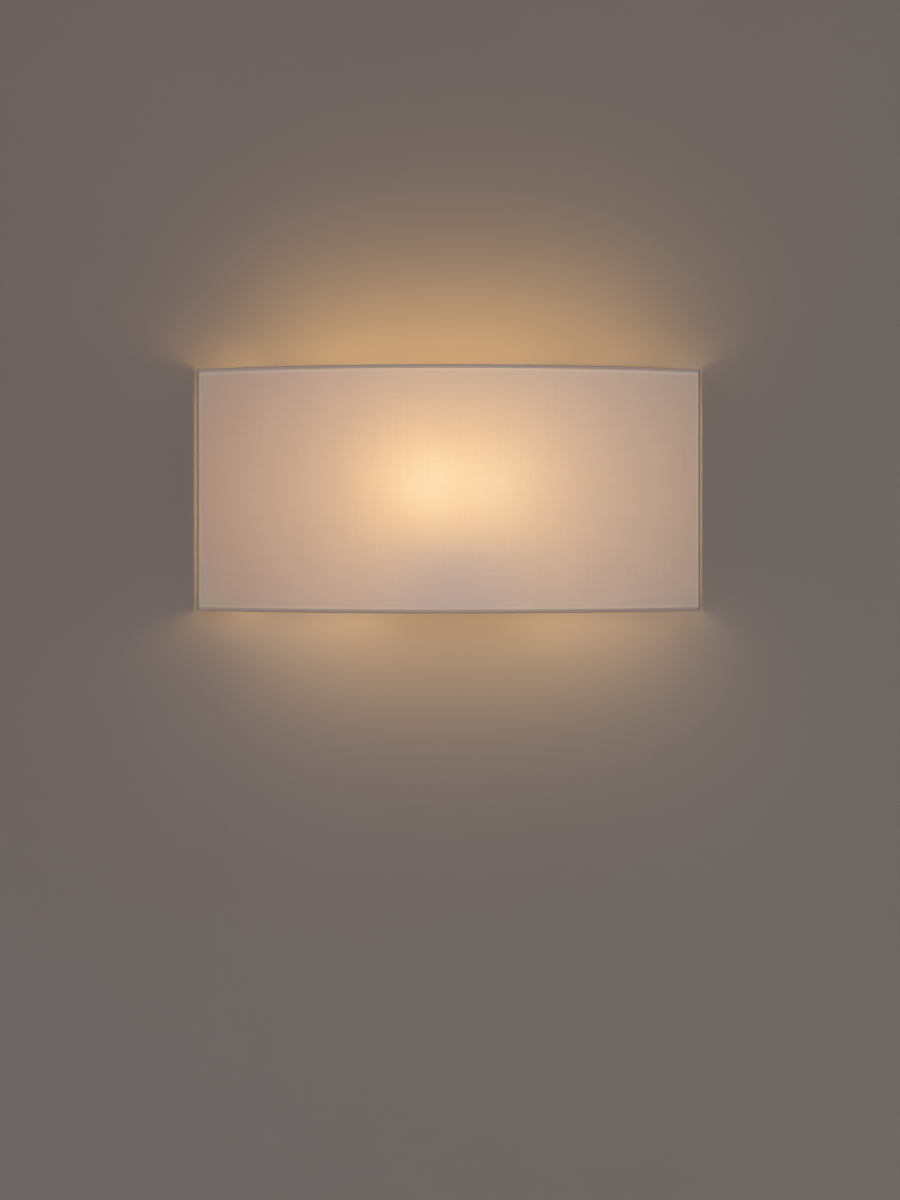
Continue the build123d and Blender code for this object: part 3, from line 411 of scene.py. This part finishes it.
def opal_material():
    """Lit opal glass, dimmer towards its neck and a little towards its crown."""
    shader = Shader("opal_glass", 0.22)
    z = shader.axes()[2]
    neck = shader.spread(z, 0.50, 1.0, GLOBE_Z - 0.020, GLOBE_Z - 0.002)
    crown = shader.spread(z, 1.0, 0.80, GLOBE_Z + 0.008, GLOBE_Z + 0.023)
    cloud = shader.spread(shader.noise(even(70), detail=3), 0.95, 1.0)
    shader.shine(shader.product(neck, crown, cloud), OPAL_GLOW, OPAL_STRENGTH)
    shader.paint("Base Color", shader.mix(cloud, (0.30, 0.29, 0.26), (0.34, 0.33, 0.30)))
    shader.bump(shader.noise(even(1200)), 0.00001)
    return shader.material


def both(*names):
    """The left and the right node of each name."""
    return [f"{side}_{name}" for name in names for side in SIDES]


# The finish, what it is made with, and the nodes that wear it
FINISHES = (
    (liner_material, (), ["shade_liner"]),
    (opal_material, (), both("lamp_globe")),
    (coated, ("white_lacquer", (0.66, 0.65, 0.63), 0.42, 2600, 0.00003), [
        "wall_box", "lamp_shelf", "top_back_bar", "bottom_back_bar", "top_front_wire", "bottom_front_wire",
        *both("arm", "end_wire")]),
    (plated, ("zinc_plate", (0.60, 0.61, 0.62), 0.36, (90, 1400, 1400)), [
        "wall_strap", "strap_pillars", "box_screws", "thread_inserts", "locating_pegs", "shelf_screws",
        "shelf_nuts", "lock_washers", "lock_nuts", "block_screws", "earth_screw", "terminal_clamp_screws",
        *both("thumb_screw_shank")]),
    (plated, ("turned_brass", (0.72, 0.52, 0.25), 0.30, (120, 120, 2200)), [
        "threaded_tubes", "terminal_barrels", *both("centre_contact", "socket_shell")]),
    (plated, ("satin_nickel", (0.66, 0.63, 0.58), 0.26, (1600, 160, 160)),
     both("thumb_screw_head", "lamp_cap")),
    (plated, ("dull_tin", (0.55, 0.55, 0.55), 0.48, even(700)), ["earth_tag", *both("lamp_tip")]),
    (coated, ("white_plastic", (0.70, 0.69, 0.65), 0.38, 3200, 0.00002), [
        "terminal_block", *both("holder_base", "holder_sleeve", "lamp_neck")]),
    (coated, ("porcelain", (0.70, 0.67, 0.60), 0.60, 4200, 0.00003), both("holder_core")),
    (coated, ("dark_glass", (0.03, 0.03, 0.035), 0.16, 1500, 0.00001), both("lamp_insulator")),
    (coated, ("grommet_rubber", (0.035, 0.035, 0.035), 0.62, 2400, 0.00005), ["grommet"]),
    (coated, ("brown_sheath", (0.16, 0.065, 0.03), 0.42, 3000, 0.00002), both("live_wire")),
    (coated, ("blue_sheath", (0.03, 0.12, 0.40), 0.42, 3000, 0.00002), both("neutral_wire")),
    (striped, ("earth_sheath", (0.62, 0.55, 0.05), (0.07, 0.30, 0.06)), ["earth_wire"]),
)


def section():
    """The cloth's closed outline as (distance from the bow's axis, height), from the face round the back."""
    inner_r = CLOTH_R - CLOTH_T
    meet = sqrt(ROLL_R**2 - (CLOTH_R - BOW_R)**2)
    meet_back = sqrt(ROLL_R**2 - (inner_r - BOW_R)**2)
    start = asin(meet / ROLL_R)
    end = 2 * pi - asin(meet_back / ROLL_R)
    half_face = WIRE_Z - meet - CREASE_DROP
    half_back = WIRE_Z - meet_back
    crease = (CLOTH_R - CREASE_DEPTH, half_face + CREASE_DROP * CREASE_PLACE)
    points = [(CLOTH_R, half_face * (2 * k / FACE_ROWS - 1)) for k in range(FACE_ROWS + 1)]
    points.append(crease)
    for k in range(1, ROLL_STEPS):
        turn = -start + (start + end) * k / ROLL_STEPS
        points.append((BOW_R + ROLL_R * cos(turn), WIRE_Z + ROLL_R * sin(turn)))
    points += [(inner_r, half_back * (1 - 2 * k / FACE_ROWS)) for k in range(FACE_ROWS + 1)]
    for k in range(1, ROLL_STEPS):
        turn = -end + (start + end) * k / ROLL_STEPS
        points.append((BOW_R + ROLL_R * cos(turn), -WIRE_Z + ROLL_R * sin(turn)))
    points.append((crease[0], -crease[1]))
    return points


def skin(mesh, rings):
    """Skins a row of closed vertex rings and caps both ends."""
    for ring, following in zip(rings, rings[1:]):
        for k in range(len(ring)):
            after = (k + 1) % len(ring)
            mesh.faces.new((ring[k], following[k], following[after], ring[after]))
    mesh.faces.new(rings[0])
    mesh.faces.new(list(reversed(rings[-1])))


def bow_sheet():
    """The curved cloth with its top and bottom rolls."""
    mesh = bmesh.new()
    outline = section()
    rings = []
    for step in range(BOW_STEPS + 1):
        angle = BOW_HALF_ANGLE * (2 * step / BOW_STEPS - 1)
        rings.append([mesh.verts.new((r * sin(angle), BOW_CENTRE_Y - r * cos(angle), z)) for r, z in outline])
    skin(mesh, rings)
    return mesh


def end_roll(side):
    """The cloth rolled round an upright end wire, with slightly rounded ends."""
    mesh = bmesh.new()
    lower_end = [(-SHADE_TOP + inset, size) for inset, size in END_ROUNDING]
    middle = [(SHADE_TOP * (2 * k / FACE_ROWS - 1), 1.0) for k in range(1, FACE_ROWS)]
    upper_end = [(-z, size) for z, size in reversed(lower_end)]
    rings = []
    for z, size in lower_end + middle + upper_end:
        ring = []
        for k in range(END_ROLL_STEPS):
            turn = 2 * pi * k / END_ROLL_STEPS
            ring.append(mesh.verts.new((side * WIRE_X + size * END_ROLL_R * cos(turn),
                                        WIRE_BACK_Y + size * END_ROLL_R * sin(turn), z)))
        rings.append(ring)
    skin(mesh, rings)
    return mesh


def shown(name, data):
    """A new object in the scene."""
    made = bpy.data.objects.new(name, data)
    bpy.context.scene.collection.objects.link(made)
    return made


def as_object(mesh, name):
    bmesh.ops.recalc_face_normals(mesh, faces=mesh.faces)
    data = bpy.data.meshes.new(name)
    mesh.to_mesh(data)
    mesh.free()
    return shown(name, data)


def fabric_piece():
    """One cloth: the bow and both end rolls joined into a single closed sheet."""
    cloth = as_object(bow_sheet(), "shade_fabric")
    for side in SIDES.values():
        roll = as_object(end_roll(side), "end_roll")
        joined = cloth.modifiers.new("join", "BOOLEAN")
        joined.operation = "UNION"
        joined.solver = "EXACT"
        joined.object = roll
        bpy.context.view_layer.objects.active = cloth
        bpy.ops.object.modifier_apply(modifier=joined.name)
        bpy.data.objects.remove(roll)
    for face in cloth.data.polygons:
        face.use_smooth = True
    cloth.data.set_sharp_from_angle(angle=SHARP_EDGE)
    cloth.data.materials.append(fabric_material())
    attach(cloth, "shade")
    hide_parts("shade_cloth")
    return cloth


def dress(node, material):
    """Puts a material on every slot of a node of the part."""
    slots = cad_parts[node].material_slots
    for slot in slots:
        slot.material = material
    if not slots:
        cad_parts[node].data.materials.append(material)


fabric = fabric_piece()
for finish, arguments, nodes in FINISHES:
    material = finish(*arguments)
    for node in nodes:
        dress(node, material)


# Stage: a wall behind the light, see-through from its back, and a pale floor well below
WALL_COLOUR = (0.150, 0.124, 0.119)
WALL_PAINTED_LIGHT_UP = ((1.04, 1.07, 1.03), (0.95, 0.93, 0.87))          # painted light: brighter low on the wall and darker high on it
WALL_PAINTED_LIGHT_ACROSS = ((0.98, 0.96, 0.98), (1.02, 1.04, 1.03))      # painted light: a little darker on the left and brighter on the right
WALL_PAINTED_LIGHT_HEIGHTS = (-0.6, 0.5)
WALL_PAINTED_LIGHT_REACH = 0.45
WALL_HALF_WIDTH = 0.95
WALL_TOP = 0.95
WALL_Y = 0.0006              # just behind the mounting face
FLOOR_COLOUR = (0.70, 0.69, 0.67)
FLOOR_GLOW = 0.16            # what a viewer sees on top, so that the floor meets the background
FLOOR_Z = -1.25
FLOOR_HALF = 9.0
STAGE_ROUGHNESS = 0.9


def stage_plane(name, corners, colour):
    """A flat piece of the stage, with faint clouds in its paint."""
    data = bpy.data.meshes.new(name)
    data.from_pydata(corners, [], [(0, 1, 2, 3)])
    made = shown(name, data)
    shader = Shader(name, STAGE_ROUGHNESS)
    cloud = shader.spread(shader.noise(even(3), detail=4), 0, 1)
    painted = shader.mix(cloud, shaded(colour, 0.97), shaded(colour, 1.03))
    shader.paint("Base Color", painted)
    data.materials.append(shader.material)
    return made, shader, painted


def wall():
    """Shows to a camera in front of it. It is see-through from its back and for all other rays."""
    side, top = WALL_HALF_WIDTH, WALL_TOP
    corners = [(-side, WALL_Y, FLOOR_Z), (side, WALL_Y, FLOOR_Z), (side, WALL_Y, top), (-side, WALL_Y, top)]
    made, shader, painted = stage_plane("wall", corners, WALL_COLOUR)
    x, _, z = shader.axes()
    # Painted light on the wall: its paint is brighter low and to the right, and darker high and to the left
    up = shader.mix(shader.spread(z, 0, 1, *WALL_PAINTED_LIGHT_HEIGHTS), *WALL_PAINTED_LIGHT_UP)
    across = shader.mix(shader.spread(x, 0, 1, -WALL_PAINTED_LIGHT_REACH, WALL_PAINTED_LIGHT_REACH), *WALL_PAINTED_LIGHT_ACROSS)
    painted_light = shader.mix(1, up, across, "MULTIPLY")
    shader.paint("Base Color", shader.mix(1, painted, painted_light, "MULTIPLY"))
    front = shader.math("SUBTRACT", 1, shader.node("ShaderNodeNewGeometry").outputs["Backfacing"])
    seen = shader.node("ShaderNodeLightPath").outputs["Is Camera Ray"]
    blend = shader.node("ShaderNodeMixShader")
    shader.feed(blend.inputs[0], shader.math("MULTIPLY", front, seen))
    shader.feed(blend.inputs[1], shader.node("ShaderNodeBsdfTransparent").outputs[0])
    shader.feed(blend.inputs[2], shader.surface.outputs[0])
    shader.feed(shader.tree.nodes["Material Output"].inputs["Surface"], blend.outputs[0])
    return made


def viewed(tree):
    """1 for what a viewer sees directly, mirrored or through glass, and 0 for the light on the object."""
    rays = tree.nodes.new("ShaderNodeLightPath").outputs
    total = rays["Is Camera Ray"]
    for kind in ("Is Glossy Ray", "Is Transmission Ray"):
        either = tree.nodes.new("ShaderNodeMath")
        either.operation = "ADD"
        either.use_clamp = True
        tree.links.new(total, either.inputs[0])
        tree.links.new(rays[kind], either.inputs[1])
        total = either.outputs[0]
    return total


def floor():
    corners = [(x * FLOOR_HALF, y * FLOOR_HALF, FLOOR_Z) for x, y in ((-1, -1), (1, -1), (1, 1), (-1, 1))]
    shader = stage_plane("floor", corners, FLOOR_COLOUR)[1]
    shader.surface.inputs["Emission Color"].default_value = (1, 1, 1, 1)
    shader.paint("Emission Strength", shader.math("MULTIPLY", viewed(shader.tree), FLOOR_GLOW))


backdrop = wall()
floor()


# Studio light: three wide, far lights that shine towards the origin, and a pale world
SOFT_ANGLE = radians(50)
SOFT_LIGHTS = (
    ("key", (-1.5, -3.4, 1.3), 0.58),
    ("fill", (1.9, -3.4, -0.4), 0.42),
    ("back", (0.6, 3.0, 2.4), 0.60),
)
WORLD_COLOUR = (0.96, 0.97, 1.0, 1)
WORLD_LIGHT = 0.75           # on the object
WORLD_SEEN = 0.85            # to a viewer


def studio_world():
    world = bpy.data.worlds.new("studio")
    world.use_nodes = True
    tree = world.node_tree
    background = tree.nodes["Background"]
    background.inputs["Color"].default_value = WORLD_COLOUR
    strength = tree.nodes.new("ShaderNodeMapRange")
    strength.inputs["To Min"].default_value = WORLD_LIGHT
    strength.inputs["To Max"].default_value = WORLD_SEEN
    tree.links.new(viewed(tree), strength.inputs["Value"])
    tree.links.new(strength.outputs[0], background.inputs["Strength"])
    return world


for name, place, strength in SOFT_LIGHTS:
    data = bpy.data.lights.new(name, "SUN")
    data.energy = strength
    data.angle = SOFT_ANGLE
    light = shown(name, data)
    light.location = place
    light.rotation_euler = (-Vector(place)).to_track_quat("-Z", "Y").to_euler()
bpy.context.scene.world = studio_world()


# The lamps' own light on the wall round the shade: direct, thrown back by the liner, and spilt above and
# below. A strip is turned in degrees from facing the wall, and its spread is in degrees too. The two turned
# ones shine out through the gap beside the shade, and move with it.
LAMP_LIGHT = (1.0, 0.64, 0.21)
PALE_LIGHT = (1.0, 0.84, 0.61)
WARM_LIGHT = (1.0, 0.74, 0.46)
LAMP_POWER = {"left": 0.250, "right": 0.230}
LAMP_SOFT_R = 0.020
Strip = namedtuple("Strip", "x y z width height turned spread power colour")
STRIPS = (
    Strip(0.004, -0.085, 0, 0.25, 0.21, 0, 180, 1.15, LAMP_LIGHT),
    Strip(-0.146, -0.050, 0, 0.012, 0.232, 62, 74, 0.160, LAMP_LIGHT),
    Strip(0.184, -0.042, 0, 0.010, 0.222, -57, 66, 0.075, PALE_LIGHT),
    Strip(0.004, -0.098, 0.166, 0.38, 0.02, 0, 176, 0.26, LAMP_LIGHT),
    Strip(0.014, -0.088, -0.158, 0.42, 0.02, 0, 176, 0.184, WARM_LIGHT),
    Strip(-0.156, -0.036, 0.130, 0.15, 0.01, 0, 180, 0.026, LAMP_LIGHT),
    Strip(0.190, -0.036, 0.130, 0.10, 0.01, 0, 180, 0.017, LAMP_LIGHT),
    Strip(-0.146, -0.036, -0.130, 0.15, 0.01, 0, 180, 0.031, WARM_LIGHT),
    Strip(0.156, -0.036, -0.130, 0.15, 0.01, 0, 180, 0.026, WARM_LIGHT),
)


def collection(name, *members):
    made = bpy.data.collections.new(name)
    for member in members:
        made.objects.link(member)
    return made


lit = collection("lit_by_lamps", backdrop)
blockers = collection("shades_the_wall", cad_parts["shade_liner"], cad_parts["wall_box"], fabric)


def light_on_wall(data, place, colour, power):
    """A light that falls on the wall alone, and that only the shade and the wall box hold back."""
    data.color = colour
    data.energy = power
    made = shown(data.name, data)
    made.location = place
    made.light_linking.receiver_collection = lit
    made.light_linking.blocker_collection = blockers
    made.visible_camera = False
    return made


for name, side in SIDES.items():
    direct = bpy.data.lights.new("lamp_on_wall", "POINT")
    direct.shadow_soft_size = LAMP_SOFT_R
    light_on_wall(direct, (side * LAMP_X, LAMP_Y, GLOBE_Z), LAMP_LIGHT, LAMP_POWER[name])
for strip in STRIPS:
    area = bpy.data.lights.new("strip_on_wall", "AREA")
    area.shape = "RECTANGLE"
    area.size, area.size_y = strip.width, strip.height
    area.spread = radians(strip.spread)
    light = light_on_wall(area, (strip.x, strip.y, strip.z), strip.colour, strip.power)
    light.rotation_euler = (pi / 2, 0, radians(strip.turned))
    if strip.turned:
        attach(light, "shade")

bpy.context.scene.view_settings.view_transform = "Standard"

# Camera: level, 3.7 m from the wall, with the frame shifted down
camera = bpy.data.cameras.new("camera")
camera.lens = 111.25
camera.sensor_width = 36.0
camera.shift_y = -0.065
view = shown("camera", camera)
view.location = (0.0013, -3.69, -0.032)
view.rotation_euler = (pi / 2, 0, 0)
bpy.context.scene.camera = view
